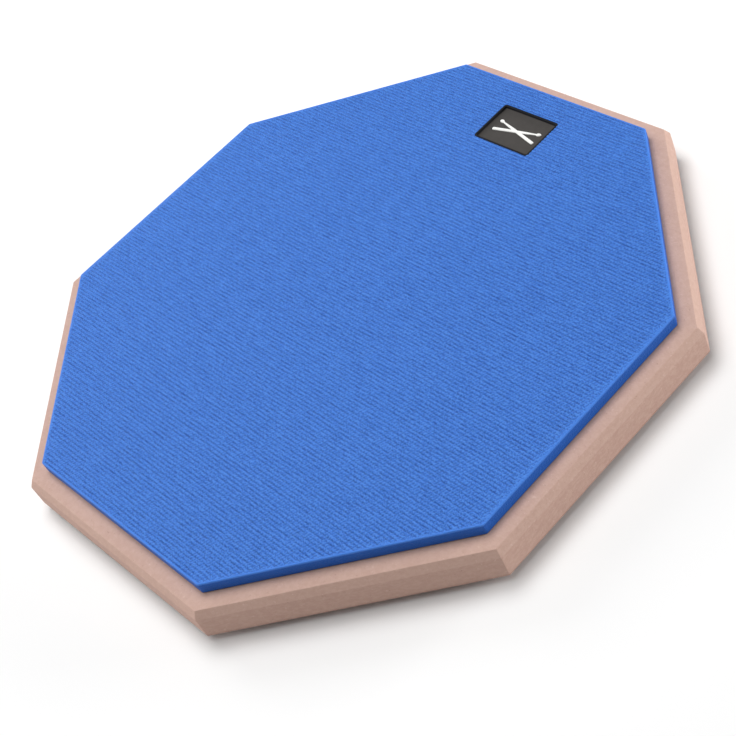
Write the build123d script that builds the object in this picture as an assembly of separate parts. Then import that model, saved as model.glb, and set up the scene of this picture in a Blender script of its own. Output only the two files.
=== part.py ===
from build123d import *
from math import cos, radians
import os

# Octagonal drum practice pad, in millimetres. A ribbed rubber striking sheet is glued to a bevelled
# fibreboard octagon, which lies on a glued foam sheet. A moulded badge sits in a pocket in the rubber.
# Frame: +Z up, the origin at the middle of the foam's underside, two flats of the octagon facing +X
# and -X, and the badge near the flat that faces +Y, where it reads along +X.

SIDES = 8

# Fibreboard base
BOARD_ACROSS_FLATS = 300.0
BOARD_THICKNESS = 15.0
BEVEL_WIDTH = 2.1        # how far the routed bevel comes in over the top face
BEVEL_HEIGHT = 3.6       # how far it comes down the side

# Rubber striking sheet
PAD_MARGIN = 7.5         # bare board between the bevel and the rubber
PAD_THICKNESS = 5.8
PAD_CORNER_RADIUS = 1.5
PAD_GLUE_THICKNESS = 0.2
PAD_GLUE_INSET = 1.0     # the brushed glue stops this far short of the rubber's edge

# Foam sheet under the board
FOAM_MARGIN = 10.0       # bare board around the foam, underneath
FOAM_THICKNESS = 4.0
FOAM_CORNER_RADIUS = 3.0
FOAM_GLUE_THICKNESS = 0.2
FOAM_GLUE_INSET = 1.0

# Moulded badge, a shallow tray with a raised border
BADGE_LENGTH = 34.8
BADGE_WIDTH = 23.3
BADGE_CORNER_RADIUS = 1.5
BADGE_FLOOR = 1.0        # thickness of the tray's floor
BADGE_BORDER_WIDTH = 0.9
BADGE_BORDER_HEIGHT = 1.4
BADGE_SET_BACK = 0.1     # the border's top lies this far under the rubber's face
BADGE_CLEARANCE = 0.1    # gap to the pocket's wall, all round
BADGE_EDGE_GAP = 14.4    # rubber between the badge and the nearest edge of the sheet
BADGE_GLUE_THICKNESS = 0.1
BADGE_GLUE_INSET = 1.5

# Raised mark on the badge's floor: two crossed drumsticks
MARK_HEIGHT = 0.5
MARK_END_GAP = 3.3       # bare floor between the sticks' ends and the border
STICK_BUTT_WIDTH = 1.7
STICK_NECK_WIDTH = 0.9
STICK_TIP_LENGTH = 3.0
STICK_TIP_WIDTH = 1.9
STICK_TILT = 13.0        # degrees between a stick and the badge's length

# Heights of the stack, from the surface that it lies on
foam_glue_z = FOAM_THICKNESS
board_z = foam_glue_z + FOAM_GLUE_THICKNESS
pad_glue_z = board_z + BOARD_THICKNESS
pad_z = pad_glue_z + PAD_GLUE_THICKNESS
face_z = pad_z + PAD_THICKNESS

# Widths that follow from the board's
pad_across_flats = BOARD_ACROSS_FLATS - 2 * (BEVEL_WIDTH + PAD_MARGIN)
foam_across_flats = BOARD_ACROSS_FLATS - 2 * FOAM_MARGIN

# The badge's place
badge_y = pad_across_flats / 2 - BADGE_EDGE_GAP - BADGE_WIDTH / 2
badge_border_z = face_z - BADGE_SET_BACK
badge_floor_z = badge_border_z - BADGE_BORDER_HEIGHT
badge_z = badge_floor_z - BADGE_FLOOR
pocket_z = badge_z - BADGE_GLUE_THICKNESS

# The sticks' length, from the room that the badge's floor leaves
mark_length = BADGE_LENGTH - 2 * (BADGE_BORDER_WIDTH + MARK_END_GAP)
stick_length = mark_length / cos(radians(STICK_TILT))


def octagon_plate(across_flats, thickness, base_z, corner_radius=0.0):
    """A flat octagon with flats facing the X and Y axes, its corners rounded if asked."""
    outline = RegularPolygon(across_flats / 2, SIDES, major_radius=False, rotation=180 / SIDES)
    if corner_radius:
        outline = fillet(outline.vertices(), corner_radius)
    return Pos(0, 0, base_z) * extrude(outline, thickness)


def badge_block(offset, base_z, top_z):
    """A block with the badge's outline, moved out by offset, between two heights."""
    outline = RectangleRounded(
        BADGE_LENGTH + 2 * offset, BADGE_WIDTH + 2 * offset, max(BADGE_CORNER_RADIUS + offset, 0.2)
    )
    return Pos(0, badge_y, base_z) * extrude(outline, top_z - base_z)


def base_board():
    """Fibreboard octagon with a steep bevel routed round its top edge."""
    blank = octagon_plate(BOARD_ACROSS_FLATS, BOARD_THICKNESS, board_z)
    top = blank.faces().sort_by(Axis.Z)[-1]
    return chamfer(top.edges(), BEVEL_WIDTH, BEVEL_HEIGHT, reference=top)


def striking_pad():
    """Rubber octagon with the badge's pocket in its face."""
    sheet = octagon_plate(pad_across_flats, PAD_THICKNESS, pad_z, PAD_CORNER_RADIUS)
    return sheet - badge_block(BADGE_CLEARANCE, pocket_z, face_z)


def striking_pad_glue():
    """Film of contact glue between the board and the rubber."""
    across_flats = pad_across_flats - 2 * PAD_GLUE_INSET
    return octagon_plate(across_flats, PAD_GLUE_THICKNESS, pad_glue_z, PAD_CORNER_RADIUS)


def anti_slip_sheet():
    """Foam octagon that the whole pad lies on."""
    return octagon_plate(foam_across_flats, FOAM_THICKNESS, 0, FOAM_CORNER_RADIUS)


def anti_slip_glue():
    """Film of glue between the foam and the board."""
    across_flats = foam_across_flats - 2 * FOAM_GLUE_INSET
    return octagon_plate(across_flats, FOAM_GLUE_THICKNESS, foam_glue_z, FOAM_CORNER_RADIUS)


def badge_plate():
    """Moulded tray: a floor with a raised border round it."""
    return badge_block(0, badge_z, badge_border_z) - badge_block(
        -BADGE_BORDER_WIDTH, badge_floor_z, badge_border_z
    )


def badge_glue():
    """Double-sided tape between the badge and the pocket's floor."""
    return badge_block(-BADGE_GLUE_INSET, pocket_z, badge_z)


def drumstick():
    """One drumstick's outline along +X, centred: round butt, tapered shaft and oval tip."""
    butt_x = (STICK_BUTT_WIDTH - stick_length) / 2
    tip_x = (stick_length - STICK_TIP_LENGTH) / 2
    shaft = make_face(
        Polyline(
            (butt_x, -STICK_BUTT_WIDTH / 2),
            (tip_x, -STICK_NECK_WIDTH / 2),
            (tip_x, STICK_NECK_WIDTH / 2),
            (butt_x, STICK_BUTT_WIDTH / 2),
            close=True,
        )
    )
    butt = Pos(butt_x, 0) * Circle(STICK_BUTT_WIDTH / 2)
    tip = Pos(tip_x, 0) * Ellipse(STICK_TIP_LENGTH / 2, STICK_TIP_WIDTH / 2)
    return butt + shaft + tip


def badge_mark():
    """Two drumsticks crossed at the middle of the badge, both tips towards +Y."""
    rising = Rot(0, 0, STICK_TILT) * drumstick()
    falling = mirror(rising, Plane.YZ)
    return Pos(0, badge_y, badge_floor_z) * extrude(rising + falling, MARK_HEIGHT)


PARTS = {
    "base_board": base_board,
    "striking_pad": striking_pad,
    "striking_pad_glue": striking_pad_glue,
    "anti_slip_sheet": anti_slip_sheet,
    "anti_slip_glue": anti_slip_glue,
    "badge_plate": badge_plate,
    "badge_glue": badge_glue,
    "badge_mark": badge_mark,
}

os.makedirs("parts", exist_ok=True)
for name, make in PARTS.items():
    export_step(make(), f"parts/{name}.step")
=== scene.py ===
from contextlib import contextmanager
from math import cos, pi, radians, sin, sqrt, tan

import bmesh
import bpy
from mathutils import Matrix, Vector, noise


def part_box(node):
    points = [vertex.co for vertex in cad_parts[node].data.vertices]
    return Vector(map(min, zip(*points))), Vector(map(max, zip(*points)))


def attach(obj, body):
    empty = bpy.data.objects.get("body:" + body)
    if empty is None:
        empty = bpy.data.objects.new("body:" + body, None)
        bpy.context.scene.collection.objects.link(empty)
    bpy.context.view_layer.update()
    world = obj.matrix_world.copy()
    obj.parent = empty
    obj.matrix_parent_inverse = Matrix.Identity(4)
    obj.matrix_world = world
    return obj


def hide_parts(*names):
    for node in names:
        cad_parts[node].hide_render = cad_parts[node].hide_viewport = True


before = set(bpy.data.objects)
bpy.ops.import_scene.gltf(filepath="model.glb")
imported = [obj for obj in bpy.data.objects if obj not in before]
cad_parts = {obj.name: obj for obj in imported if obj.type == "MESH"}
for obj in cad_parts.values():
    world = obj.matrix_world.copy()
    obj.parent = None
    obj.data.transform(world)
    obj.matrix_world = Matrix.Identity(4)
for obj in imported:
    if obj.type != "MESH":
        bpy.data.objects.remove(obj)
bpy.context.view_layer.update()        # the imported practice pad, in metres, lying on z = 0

# ------------------------------------------------------------------------------------------------
# Base board. An octagon of raw medium-density fibreboard, sawn from 15 mm sheet. A steep bevel is
# routed round its top edge and every arris is eased with fine paper. It is left unpainted.

BEVEL_WIDTH = 0.0021
BEVEL_HEIGHT = 0.0036
BOARD_ARRIS = 0.00025
BOARD_SKIN = 0.0016         # how far up the denser, darker lower skin can be seen on the sawn side
SIDES = 8
NEARLY_STRAIGHT = 0.99      # cosine of the slant that still counts as level or upright
EASED_EDGE_STEPS = 3
EASED_EDGE_FOLD = radians(20)    # edges folded less than this are not eased

board_low, board_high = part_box("base_board")
board_across_flats = board_high.x - board_low.x


def select_only(piece=None):
    """Selects one piece alone and makes it active. With no piece, everything is deselected."""
    bpy.ops.object.select_all(action="DESELECT")
    if piece:
        piece.select_set(True)
        bpy.context.view_layer.objects.active = piece


@contextmanager
def shaping(piece):
    """Edit mode on one piece alone, with nothing in it selected."""
    select_only(piece)
    bpy.ops.object.mode_set(mode="EDIT")
    bpy.ops.mesh.select_all(action="DESELECT")
    yield
    bpy.ops.object.mode_set(mode="OBJECT")


def pick_top_faces(piece):
    """In edit mode, selects only the faces that look straight up."""
    bpy.ops.mesh.select_mode(type="FACE")
    bpy.ops.mesh.select_all(action="DESELECT")
    mesh = bmesh.from_edit_mesh(piece.data)
    for face in mesh.faces:
        face.select_set(face.normal.z > NEARLY_STRAIGHT)
    bmesh.update_edit_mesh(piece.data)


def pick_upright_edges(piece):
    """In edit mode, selects only the edges that run straight up."""
    bpy.ops.mesh.select_mode(type="EDGE")
    bpy.ops.mesh.select_all(action="DESELECT")
    mesh = bmesh.from_edit_mesh(piece.data)
    for edge in mesh.edges:
        run = edge.verts[1].co - edge.verts[0].co
        edge.select_set(abs(run.z) > NEARLY_STRAIGHT * run.length)
    bmesh.update_edit_mesh(piece.data)


def extrude(*step):
    """In edit mode, extrudes what is selected and moves it by step."""
    bpy.ops.mesh.extrude_region_move(TRANSFORM_OT_translate={"value": step})


def scale(x, y, z, about=(0, 0, 0)):
    """In edit mode, scales what is selected about a point."""
    bpy.ops.transform.resize(value=(x, y, z), center_override=about)


def modify(piece, kind, **settings):
    """Adds one modifier to a piece and applies it."""
    modifier = piece.modifiers.new(kind.title(), kind)
    for key, value in settings.items():
        setattr(modifier, key, value)
    bpy.context.view_layer.objects.active = piece
    bpy.ops.object.modifier_apply(modifier=modifier.name)


def octagon_block(name, across_flats, low_z, high_z):
    """An upright octagonal block with flats facing X and Y."""
    select_only()
    bpy.ops.mesh.primitive_cylinder_add(
        vertices=SIDES,
        radius=across_flats / 2 / cos(pi / SIDES),
        depth=high_z - low_z,
        location=(0, 0, (low_z + high_z) / 2),
        rotation=(0, 0, pi / SIDES),
    )
    block = bpy.context.object
    block.name = block.data.name = name
    bpy.ops.object.transform_apply()
    return block


def ease_edges(piece, width):
    """Rounds every sharp edge a little and keeps the flats between them flat."""
    modify(
        piece,
        "BEVEL",
        width=width,
        segments=EASED_EDGE_STEPS,
        limit_method="ANGLE",
        angle_limit=EASED_EDGE_FOLD,
    )
    select_only(piece)
    bpy.ops.object.shade_smooth()
    modify(piece, "WEIGHTED_NORMAL")


board = octagon_block("fibreboard_base", board_across_flats, board_low.z, board_high.z - BEVEL_HEIGHT)
with shaping(board):
    pick_top_faces(board)
    extrude(0, 0, BEVEL_HEIGHT)
    taper = 1 - 2 * BEVEL_WIDTH / board_across_flats
    scale(taper, taper, 1)
ease_edges(board, BOARD_ARRIS)


class Value:
    """A number or colour that varies over a surface. Arithmetic on it adds Math nodes."""

    def __init__(self, finish, socket):
        self.finish = finish
        self.socket = socket

    def math(self, operation, *others):
        """A Math node that works on this value and the others, in that order."""
        sockets = dict(enumerate((self, *others)))
        return self.finish.node("ShaderNodeMath", {"operation": operation}, sockets)

    def __add__(self, other):
        return self.math("ADD", other)

    def __sub__(self, other):
        return self.math("SUBTRACT", other)

    def __mul__(self, other):
        return self.math("MULTIPLY", other)

    def __rsub__(self, other):
        return self.math("MULTIPLY_ADD", -1, other)

    __radd__ = __add__
    __rmul__ = __mul__


class Finish:
    """A material in the making. Its place is the piece's own Object coordinates."""

    def __init__(self, name, specular):
        self.material = bpy.data.materials.new(name)
        self.material.use_nodes = True
        self.tree = self.material.node_tree
        self.shader = self.tree.nodes["Principled BSDF"]
        self.shader.inputs["Specular IOR Level"].default_value = specular
        self.place = self.node("ShaderNodeTexCoord", output="Object")

    def node(self, kind, settings=None, sockets=None, output=0):
        """Adds any node: its settings first, then the values or links of its sockets."""
        made = self.tree.nodes.new(kind)
        for key, value in (settings or {}).items():
            setattr(made, key, value)
        for key, value in (sockets or {}).items():
            self.feed(made.inputs[key], value)
        return Value(self, made.outputs[output])

    def feed(self, socket, value):
        """Links a varying value to a socket, or sets a constant on it."""
        if isinstance(value, Value):
            self.tree.links.new(value.socket, socket)
        else:
            socket.default_value = value

    def along(self, axis):
        """The piece's own X, Y or Z in metres."""
        return self.node("ShaderNodeSeparateXYZ", None, {"Vector": self.place}, output=axis)

    def stretched(self, x, y, z):
        """The piece's coordinates in millimetres, scaled along each axis."""
        size = (1000 * x, 1000 * y, 1000 * z)
        return self.node("ShaderNodeMapping", None, {"Vector": self.place, "Scale": size})

    def cloud(self, vector, scale, detail=3.0, roughness=0.5, distortion=0.0):
        """Soft noise between 0 and 1, with scale in features per millimetre."""
        return self.node(
            "ShaderNodeTexNoise",
            None,
            {
                "Vector": vector,
                "Scale": scale,
                "Detail": detail,
                "Roughness": roughness,
                "Distortion": distortion,
            },
        )

    def between(self, value, zero_at, one_at):
        """A smooth step from 0 to 1, as the value goes up or down from zero_at to one_at."""
        return self.node(
            "ShaderNodeMapRange",
            {"interpolation_type": "SMOOTHSTEP"},
            {"Value": value, "From Min": zero_at, "From Max": one_at},
        )

    def blend(self, share, base, top):
        """The base colour with the top colour over it, by share."""
        return self.node("ShaderNodeMix", {"data_type": "RGBA"}, {0: share, 6: base, 7: top}, output=2)

    def relief(self, height, distance, strength=1.0):
        """A bumped normal from a height field, distance deep in metres."""
        sockets = {"Height": height, "Distance": distance, "Strength": strength}
        return self.node("ShaderNodeBump", None, sockets)

    def cover(self, piece, colour, roughness, normal):
        """Links what was made to the shader, and gives the material to the piece."""
        self.feed(self.shader.inputs["Base Color"], colour)
        self.feed(self.shader.inputs["Roughness"], roughness)
        self.feed(self.shader.inputs["Normal"], normal)
        piece.data.materials.clear()
        piece.data.materials.append(self.material)


def paint(red, green, blue):
    """A colour-card colour, 0 to 255 a channel, as the shader's linear colour."""
    return tuple(((c / 255 + 0.055) / 1.055) ** 2.4 for c in (red, green, blue)) + (1.0,)


raw_board = Finish("raw_fibreboard", specular=0.3)
millimetres = raw_board.stretched(1, 1, 1)
height = raw_board.along("Z")
painted_light_on_top = raw_board.between(height, board_high.z - 1.05 * BEVEL_HEIGHT, board_high.z - 0.95 * BEVEL_HEIGHT)
skin = raw_board.between(height, board_low.z + BOARD_SKIN, board_low.z + BOARD_SKIN / 4)
saw_marks = raw_board.cloud(raw_board.stretched(1, 1, 0.05), 1.2, 2, 0.6)
blotches = raw_board.cloud(millimetres, 0.05, 4, 0.6)
fibres = raw_board.cloud(raw_board.stretched(1, 1, 1.8), 0.45, 4, 0.6, 0.4)
flecks = raw_board.between(raw_board.cloud(millimetres, 0.8, 2, 0.5), 0.68, 0.74)
pits = raw_board.between(raw_board.cloud(raw_board.stretched(1, 1, 2), 0.9, 2, 0.5), 0.31, 0.26)
tone = raw_board.blend(blotches, paint(186, 150, 136), paint(200, 166, 152))
tone = raw_board.blend(raw_board.between(fibres, 0.35, 0.7) * 0.4, tone, paint(210, 179, 165))
tone = raw_board.blend(flecks * 0.35, tone, paint(226, 202, 190))
tone = raw_board.blend(pits * 0.4, tone, paint(146, 112, 99))
# Painted light: the bevel and the top face are lightened a little, so the bevel reads brighter than the sawn
# side below it.
tone = raw_board.blend(painted_light_on_top * 0.2, tone, paint(214, 184, 170))
tone = raw_board.blend(skin * 0.3, tone, paint(160, 124, 109))
raw_board.cover(
    board,
    colour=tone,
    roughness=0.76 + 0.14 * fibres,
    normal=raw_board.relief(fibres - 0.4 * pits + 0.3 * saw_marks, 0.00025, 0.5),
)
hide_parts("base_board")
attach(board, "root")

# ------------------------------------------------------------------------------------------------
# Striking pad. A 6 mm sheet of solid blue rubber, moulded against ribbed cloth, so that fine ribs
# cross its face from side to side. It is die-cut to an octagon with a pocket for the badge, and
# contact glue holds it down.

RIB_PITCH = 0.00175
RIB_DEPTH = 0.00037
RIB_FADE = 0.0009           # the ribs run out over this distance from the edge of the face
RIB_WANDER = 0.12           # how far a rib strays to each side, as a share of the pitch
RIB_FULLNESS = 0.8          # usual depth of a groove, as a share of RIB_DEPTH
RIB_UNEVENNESS = 0.5        # how much that share varies along the rib
RIB_SHARPNESS = 1.3         # over 1, the grooves are narrower than the ribs
TWILL_PITCH = 0.0015        # along a rib, from thread to thread
TWILL_SHARE = 0.06          # how strongly the twill shows among the threads
PATTERN_FADES = 0.0011      # from the cut edge, where the pattern's painted shade, painted highlights and twill bumps start to fade
PATTERN_ENDS = 0.0005       # from the cut edge, where it is gone
ROWS_PER_RIB = 6
PAD_COLUMNS = 84
PAD_EDGE_RADIUS = 0.00045
PAD_EDGE_STEPS = 3
PAD_ROLLED_EDGE = 0.0003    # how far the die rolls the lower edge under
PAD_CORNER_RADIUS = 0.0015
PAD_CORNER_CUTS = 4         # short flats that make up one rounded corner
PAD_CREASE = radians(38)    # folds sharper than this are not smoothed over
CUT_TOLERANCE = 1e-7
POCKET_CLEARANCE = 0.0001
POCKET_CORNER_RADIUS = 0.0016
BLOCK_CORNER_STEPS = 6
CUTTER_RISE = 0.001         # how far the pocket's cutter stands above the face

pad_low, pad_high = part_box("striking_pad")
badge_low, badge_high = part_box("badge_plate")
pad_across_flats = pad_high.x - pad_low.x
face_across_flats = pad_across_flats - 2 * PAD_EDGE_RADIUS
pocket_floor_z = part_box("badge_glue")[0].z


def trim_to_rounded_octagon(apothem, corner_radius, cuts_per_side):
    """In edit mode, cuts all the faces to an octagon whose corners are rounded by short flats."""
    corner_reach = (apothem - corner_radius) / cos(pi / SIDES)
    for cut in range(SIDES * cuts_per_side):
        angle = 2 * pi * cut / (SIDES * cuts_per_side)
        corner_angle = (cut // cuts_per_side + 0.5) * 2 * pi / SIDES
        reach = corner_reach * cos(angle - corner_angle) + corner_radius
        outward = (cos(angle), sin(angle), 0)
        bpy.ops.mesh.select_all(action="SELECT")
        bpy.ops.mesh.bisect(
            plane_co=Vector(outward) * reach, plane_no=outward, clear_outer=True, threshold=CUT_TOLERANCE
        )


def rib_drop(x, y):
    """How far the face lies under the ribs' tops at a place on the pad. The ribs waver and fade."""
    from_edge = face_across_flats / 2 - max(abs(x), abs(y), (abs(x) + abs(y)) / sqrt(2))
    wander = RIB_WANDER * noise.noise(Vector((x * 70, y * 150, 0.3)))
    groove = 0.5 - 0.5 * cos(2 * pi * (y / RIB_PITCH + wander))
    fullness = RIB_FULLNESS + RIB_UNEVENNESS * noise.noise(Vector((x * 150, y * 420, 5.1)))
    return RIB_DEPTH * min(1.0, fullness, max(0.0, from_edge) / RIB_FADE) * groove ** RIB_SHARPNESS


def rounded_block(name, low, high, corner_radius):
    """An upright block between two corners, with its upright edges rounded."""
    select_only()
    bpy.ops.mesh.primitive_cube_add(size=1, location=(low + high) / 2, scale=high - low)
    block = bpy.context.object
    block.name = block.data.name = name
    bpy.ops.object.transform_apply()
    with shaping(block):
        pick_upright_edges(block)
        bpy.ops.mesh.bevel(offset=corner_radius, segments=BLOCK_CORNER_STEPS, affect="EDGES")
    return block


select_only()
bpy.ops.mesh.primitive_grid_add(
    x_subdivisions=PAD_COLUMNS,
    y_subdivisions=round(face_across_flats / RIB_PITCH) * ROWS_PER_RIB,
    size=face_across_flats,
    location=(0, 0, pad_high.z),
)
pad = bpy.context.object
pad.name = pad.data.name = "rubber_striking_pad"
bpy.ops.object.transform_apply()
with shaping(pad):
    trim_to_rounded_octagon(face_across_flats / 2, PAD_CORNER_RADIUS, PAD_CORNER_CUTS)
for vertex in pad.data.vertices:
    vertex.co.z -= rib_drop(vertex.co.x, vertex.co.y)
with shaping(pad):
    bpy.ops.mesh.select_all(action="SELECT")
    bpy.ops.mesh.region_to_loop()
    out = drop = 0.0
    for step in range(1, PAD_EDGE_STEPS + 1):
        turn = pi / 2 * step / PAD_EDGE_STEPS
        next_out = PAD_EDGE_RADIUS * sin(turn)
        next_drop = PAD_EDGE_RADIUS * (1 - cos(turn))
        grow = (face_across_flats / 2 + next_out) / (face_across_flats / 2 + out)
        extrude(0, 0, drop - next_drop)
        scale(grow, grow, 1)
        out, drop = next_out, next_drop
    extrude(0, 0, drop + pad_low.z + PAD_ROLLED_EDGE - pad_high.z)
    scale(1, 1, 0, about=pad_low + Vector((0, 0, PAD_ROLLED_EDGE)))
    extrude(0, 0, -PAD_ROLLED_EDGE)
    under = 1 - 2 * PAD_ROLLED_EDGE / pad_across_flats
    scale(under, under, 1)
    bpy.ops.mesh.edge_face_add()
    bpy.ops.mesh.select_all(action="SELECT")
    bpy.ops.mesh.normals_make_consistent(inside=False)
margin = Vector((POCKET_CLEARANCE, POCKET_CLEARANCE, 0))
cutter = rounded_block(
    "pocket_cutter",
    Vector((badge_low.x, badge_low.y, pocket_floor_z)) - margin,
    Vector((badge_high.x, badge_high.y, pad_high.z + CUTTER_RISE)) + margin,
    POCKET_CORNER_RADIUS,
)
modify(pad, "BOOLEAN", object=cutter, operation="DIFFERENCE", solver="EXACT")
bpy.data.objects.remove(cutter)
select_only(pad)
bpy.ops.object.shade_smooth_by_angle(angle=PAD_CREASE)

blue_rubber = Finish("blue_rubber", specular=0.32)
millimetres = blue_rubber.stretched(1, 1, 1)
height = blue_rubber.along("Z")
on_face = blue_rubber.between(height, pad_high.z - 2.5 * RIB_DEPTH, pad_high.z - 1.5 * RIB_DEPTH)
in_groove = 1 - blue_rubber.between(height, pad_high.z - 0.8 * RIB_DEPTH, pad_high.z - 0.1 * RIB_DEPTH)
from_x = blue_rubber.along("X").math("ABSOLUTE")
from_y = blue_rubber.along("Y").math("ABSOLUTE")
reach = from_x.math("MAXIMUM", from_y).math("MAXIMUM", (from_x + from_y) * sqrt(0.5))
edge_reach = pad_across_flats / 2
at_edge = blue_rubber.between(reach, edge_reach - PATTERN_FADES, edge_reach - PATTERN_ENDS)
ribbed = on_face * (1 - at_edge)
clouds = blue_rubber.cloud(millimetres, 0.02, 4, 0.6)
grain = blue_rubber.cloud(millimetres, 2.2, 3, 0.65)
threads = blue_rubber.cloud(blue_rubber.stretched(0.8, 1, 1), 1.6, 2, 0.6)
dashes = blue_rubber.cloud(blue_rubber.stretched(0.35, 0.7, 1), 1.0, 2, 0.5)
twist = 2 * threads + blue_rubber.along("X") * (1 / TWILL_PITCH) - blue_rubber.along("Y") * (0.5 / RIB_PITCH)
twill = (twist * (2 * pi)).math("SINE")
weave = threads + TWILL_SHARE * twill
# Painted highlight on the weave's high threads, painted shade on its low ones.
threads_painted_highlight = ribbed * blue_rubber.between(weave, 0.5, 0.62)
threads_painted_shade = ribbed * blue_rubber.between(weave, 0.48, 0.36)
painted_highlight_blue = paint(96, 160, 238)
tone = blue_rubber.blend(clouds, paint(58, 122, 220), paint(63, 128, 226))
# Painted shade: the rib grooves are darkened, broken into dashes along each rib.
groove_painted_shade = ribbed * in_groove * (0.32 + 0.38 * blue_rubber.between(dashes, 0.35, 0.65))
tone = blue_rubber.blend(groove_painted_shade, tone, paint(12, 62, 150))
# Painted highlight and painted shade over the threads.
tone = blue_rubber.blend(threads_painted_highlight * 0.44, tone, painted_highlight_blue)
tone = blue_rubber.blend(threads_painted_shade * 0.44, tone, paint(14, 66, 154))
# Painted highlight: a faint pale line round the rim of the face.
tone = blue_rubber.blend(on_face * at_edge * 0.08, tone, painted_highlight_blue)
# Painted shade: the cut sides get a deeper, more saturated blue than the face, whose paler blue stands in
# for its sheen.
tone = blue_rubber.blend((1 - on_face) * 0.85, tone, paint(10, 91, 190))
blue_rubber.cover(
    pad,
    colour=tone,
    roughness=0.46 + 0.16 * grain,
    normal=blue_rubber.relief(0.3 * ribbed * twill + 1.65 * threads + 0.4 * grain, 0.0003),
)
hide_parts("striking_pad")
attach(pad, "root")

# ------------------------------------------------------------------------------------------------
# Badge. A shallow tray of dark soft vinyl with a raised black border, moulded in one piece and
# taped into the rubber's pocket. Two crossed drumsticks in white vinyl are poured onto its floor.

BORDER_WIDTH = 0.0009
BORDER_HEIGHT = 0.0014
BADGE_CORNER_RADIUS = 0.0015
BADGE_EDGE = 0.00018
TRAY_TAPER_X = 0.992        # length of the tray's floor over its mouth's
TRAY_TAPER_Y = 0.988        # width of the tray's floor over its mouth's
BLACK_STARTS = 0.0002       # above the tray's floor, where the border's near-black starts
BLACK_FULL = 0.0005         # above the tray's floor, where it covers fully
STICK_TILT = radians(13)
STICK_FLATNESS = 0.62       # height of the raised stick over half its width
STICK_RING_POINTS = 20
STICK_CREASE = radians(50)  # folds sharper than this are not smoothed over
MILLIMETRE = 0.001
# Along a stick from butt to tip: distance and radius, in millimetres.
STICK_PROFILE = (
    (0.0, 0.35), (0.12, 0.62), (0.4, 0.8), (0.8, 0.85), (12.0, 0.8), (19.0, 0.66),
    (23.2, 0.45), (24.2, 0.42), (24.6, 0.62), (25.3, 0.92), (26.0, 0.92), (26.7, 0.6), (27.0, 0.25),
)

badge_floor_z = badge_high.z - BORDER_HEIGHT
badge_middle = (badge_low + badge_high) / 2

badge = rounded_block("vinyl_badge", badge_low, badge_high, BADGE_CORNER_RADIUS)
with shaping(badge):
    pick_top_faces(badge)
    bpy.ops.mesh.inset(thickness=BORDER_WIDTH)
    extrude(0, 0, -BORDER_HEIGHT)
    scale(TRAY_TAPER_X, TRAY_TAPER_Y, 1, about=badge_middle)
ease_edges(badge, BADGE_EDGE)


def drumstick(name, tilt, ring_turn):
    """A flattened drumstick in millimetres, carried ring by ring from its butt to its tip."""
    start = -STICK_PROFILE[-1][0] / 2
    select_only()
    bpy.ops.mesh.primitive_circle_add(
        vertices=STICK_RING_POINTS,
        radius=STICK_PROFILE[0][1],
        fill_type="NGON",
        location=(start, 0, 0),
        rotation=(0, pi / 2, 0),
    )
    stick = bpy.context.object
    stick.name = stick.data.name = name
    bpy.ops.object.transform_apply()
    with shaping(stick):
        bpy.ops.mesh.select_all(action="SELECT")
        for (here, radius), (there, next_radius) in zip(STICK_PROFILE, STICK_PROFILE[1:]):
            extrude(there - here, 0, 0)
            grow = next_radius / radius
            scale(1, grow, grow, about=(start + there, 0, 0))
        bpy.ops.mesh.select_all(action="SELECT")
        bpy.ops.mesh.normals_make_consistent(inside=False)
    stick.rotation_euler.x = ring_turn
    bpy.ops.object.transform_apply()
    stick.scale.z = STICK_FLATNESS
    stick.rotation_euler.z = tilt
    bpy.ops.object.transform_apply()
    return stick


mark = drumstick("crossed_sticks", STICK_TILT, 0)
other_stick = drumstick("other_stick", pi - STICK_TILT, pi / STICK_RING_POINTS)
modify(mark, "BOOLEAN", object=other_stick, operation="UNION", solver="EXACT")
bpy.data.objects.remove(other_stick)
with shaping(mark):
    bpy.ops.mesh.select_all(action="SELECT")
    bpy.ops.mesh.bisect(plane_co=(0, 0, 0), plane_no=(0, 0, -1), clear_outer=True, use_fill=True)
mark.scale = (MILLIMETRE, MILLIMETRE, MILLIMETRE)
mark.location = (badge_middle.x, badge_middle.y, badge_floor_z)
bpy.ops.object.transform_apply()
bpy.ops.object.shade_smooth_by_angle(angle=STICK_CREASE)

dark_vinyl = Finish("dark_vinyl", specular=0.25)
millimetres = dark_vinyl.stretched(1, 1, 1)
height = dark_vinyl.along("Z")
on_border = dark_vinyl.between(height, badge_floor_z + BLACK_STARTS, badge_floor_z + BLACK_FULL)
stipple = dark_vinyl.cloud(millimetres, 5.5, 3, 0.6)
mottle = dark_vinyl.cloud(millimetres, 0.3, 2, 0.5)
tone = dark_vinyl.blend(mottle, paint(62, 59, 57), paint(70, 67, 65))
tone = dark_vinyl.blend(on_border, tone, paint(10, 12, 20))
dark_vinyl.cover(
    badge,
    colour=tone,
    roughness=0.62 + 0.1 * stipple,
    normal=dark_vinyl.relief(stipple, 0.00002, 0.5),
)
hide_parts("badge_plate")
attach(badge, "root")

white_vinyl = Finish("white_vinyl", specular=0.5)
millimetres = white_vinyl.stretched(1, 1, 1)
stipple = white_vinyl.cloud(millimetres, 6.0, 2, 0.5)
mottle = white_vinyl.cloud(millimetres, 0.8, 2, 0.5)
white_vinyl.cover(
    mark,
    colour=white_vinyl.blend(mottle, paint(238, 238, 235), paint(250, 250, 248)),
    roughness=0.36 + 0.12 * stipple,
    normal=white_vinyl.relief(stipple, 0.00001, 0.4),
)
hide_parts("badge_mark")
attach(mark, "root")

# ------------------------------------------------------------------------------------------------
# Anti-slip sheet. Black closed-cell foam 4 mm thick, die-cut a little smaller than the board and
# glued to its underside. The pad lies on it, so its lower edge is pressed slightly round.

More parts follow.
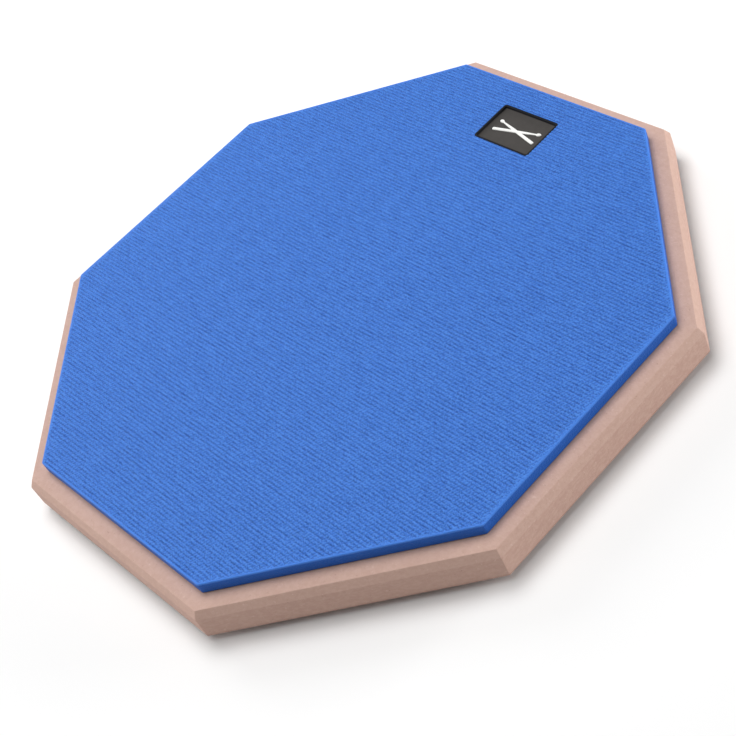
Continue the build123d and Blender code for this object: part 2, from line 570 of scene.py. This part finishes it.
FOAM_CORNER_RADIUS = 0.003
FOAM_CORNER_STEPS = 4
FOAM_EDGE = 0.0005

foam_low, foam_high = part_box("anti_slip_sheet")
foam = octagon_block("foam_anti_slip_sheet", foam_high.x - foam_low.x, foam_low.z, foam_high.z)
with shaping(foam):
    pick_upright_edges(foam)
    corner_cut = FOAM_CORNER_RADIUS * tan(pi / SIDES)
    bpy.ops.mesh.bevel(offset=corner_cut, segments=FOAM_CORNER_STEPS, affect="EDGES")
ease_edges(foam, FOAM_EDGE)

black_foam = Finish("black_foam", specular=0.3)
millimetres = black_foam.stretched(1, 1, 1)
cells = black_foam.node("ShaderNodeTexVoronoi", None, {"Vector": millimetres, "Scale": 2.2})
pores = black_foam.between(cells, 0.28, 0.12)
dust = black_foam.cloud(millimetres, 0.05, 3, 0.6)
tone = black_foam.blend(dust, paint(34, 34, 36), paint(46, 46, 48))
tone = black_foam.blend(pores * 0.7, tone, paint(14, 14, 15))
black_foam.cover(
    foam,
    colour=tone,
    roughness=0.8 + 0.12 * cells,
    normal=black_foam.relief(cells - 0.8 * pores, 0.0002, 0.7),
)
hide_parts("anti_slip_sheet")
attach(foam, "root")

# ------------------------------------------------------------------------------------------------
# Glue films and tape. Brushed amber contact glue under the rubber and over the foam, and a patch of
# double-sided tape under the badge. They keep their CAD shapes, and hardly show at the joints.

dried_glue = Finish("dried_contact_glue", specular=0.5)
streaks = dried_glue.cloud(dried_glue.stretched(1, 0.15, 1), 0.5, 3, 0.6)
streaked = dried_glue.blend(streaks, paint(168, 132, 78), paint(196, 164, 108))
streak_relief = dried_glue.relief(streaks, 0.0001, 0.5)
for node in ("striking_pad_glue", "anti_slip_glue"):
    dried_glue.cover(
        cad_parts[node], colour=streaked, roughness=0.3 + 0.2 * streaks, normal=streak_relief
    )

white_tape = Finish("double_sided_tape", specular=0.4)
tissue = white_tape.cloud(white_tape.stretched(1, 1, 1), 1.5, 4, 0.6)
white_tape.cover(
    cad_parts["badge_glue"],
    colour=white_tape.blend(tissue, paint(206, 202, 192), paint(228, 225, 216)),
    roughness=0.5 + 0.2 * tissue,
    normal=white_tape.relief(tissue, 0.00003, 0.5),
)

# ------------------------------------------------------------------------------------------------
# Studio. A plain white floor, an even white surround and five large soft lamps: a low strip at each
# side, one almost overhead, and two behind the pad, which throw its shadow to the front.

FLOOR_SIZE = 12.0
FLOOR_GAP = 0.0001          # keeps the floor just clear of the foam
LAMP_AIM = Vector((0, 0, 0.02))
LAMP_DISTANCE = 1.5
SURROUND_LIGHT = 0.15

select_only()
bpy.ops.mesh.primitive_plane_add(size=FLOOR_SIZE, location=(0, 0, -FLOOR_GAP))
floor = bpy.context.object
floor.name = "floor"
bpy.ops.object.transform_apply()
floor_paint = Finish("white_floor", specular=0.1)
unevenness = floor_paint.cloud(floor_paint.stretched(1, 1, 1), 0.004, 2, 0.5)
floor_paint.cover(
    floor,
    colour=floor_paint.blend(unevenness, paint(246, 246, 246), paint(248, 248, 248)),
    roughness=0.86 + 0.08 * unevenness,
    normal=floor_paint.relief(unevenness, 0.0001, 0.1),
)


def towards(azimuth, elevation):
    """The unit vector at an azimuth from +X and an elevation, both in degrees."""
    turn, rise = radians(azimuth), radians(elevation)
    return Vector((cos(turn) * cos(rise), sin(turn) * cos(rise), sin(rise)))


def softbox(name, azimuth, elevation, width, height, light):
    """A lamp facing the pad from LAMP_DISTANCE, at an azimuth and an elevation in degrees.

    light is what it adds to a white card that faces it.
    """
    bpy.ops.object.light_add(type="AREA")
    lamp = bpy.context.object
    lamp.name = name
    lamp.data.shape = "RECTANGLE"
    lamp.data.size = width
    lamp.data.size_y = height
    lamp.data.energy = pi ** 2 * LAMP_DISTANCE ** 2 * light
    away = towards(azimuth, elevation)
    lamp.location = LAMP_AIM + LAMP_DISTANCE * away
    lamp.rotation_euler = away.to_track_quat("Z", "Y").to_euler()


softbox("right_strip", 59, 11, 1.2, 0.45, 0.72)
softbox("left_strip", -135, 11, 1.2, 0.45, 0.27)
softbox("back_softbox", 178, 28, 0.6, 0.5, 0.25)
softbox("key_softbox", 158, 71, 0.8, 0.8, 0.46)
softbox("overhead_softbox", -95, 79, 1.2, 1.2, 0.44)

bpy.context.scene.world = bpy.data.worlds.new("surround")
bpy.context.scene.world.use_nodes = True
surround = bpy.context.scene.world.node_tree.nodes["Background"]
surround.inputs["Color"].default_value = (1, 1, 1, 1)
surround.inputs["Strength"].default_value = SURROUND_LIGHT
bpy.context.scene.view_settings.view_transform = "Standard"

# Camera, held at a slant: where it stands round the point it looks at, and how far it is rolled.
CAMERA_AIM = Vector((0.0538, 0.0139, 0.0192))
CAMERA_DISTANCE = 0.6769
CAMERA_AZIMUTH = -27.72     # degrees, as the next two
CAMERA_ELEVATION = 43.79
CAMERA_ROLL = -25.56
CAMERA_LENS = 77.94         # millimetres, as the sensor
CAMERA_SENSOR = 36.0
CAMERA_SHIFT_X = -0.12
CAMERA_SHIFT_Y = -0.06
CAMERA_NEAR = 0.01          # metres

bpy.ops.object.camera_add()
camera = bpy.context.object
camera.name = "camera"
camera.data.lens = CAMERA_LENS
camera.data.sensor_width = CAMERA_SENSOR
camera.data.shift_x = CAMERA_SHIFT_X
camera.data.shift_y = CAMERA_SHIFT_Y
camera.data.clip_start = CAMERA_NEAR
back = towards(CAMERA_AZIMUTH, CAMERA_ELEVATION)
stand = Matrix.Translation(CAMERA_AIM + CAMERA_DISTANCE * back)
level = back.to_track_quat("Z", "Y").to_matrix().to_4x4()
camera.matrix_world = stand @ level @ Matrix.Rotation(radians(CAMERA_ROLL), 4, "Z")
bpy.context.scene.camera = camera
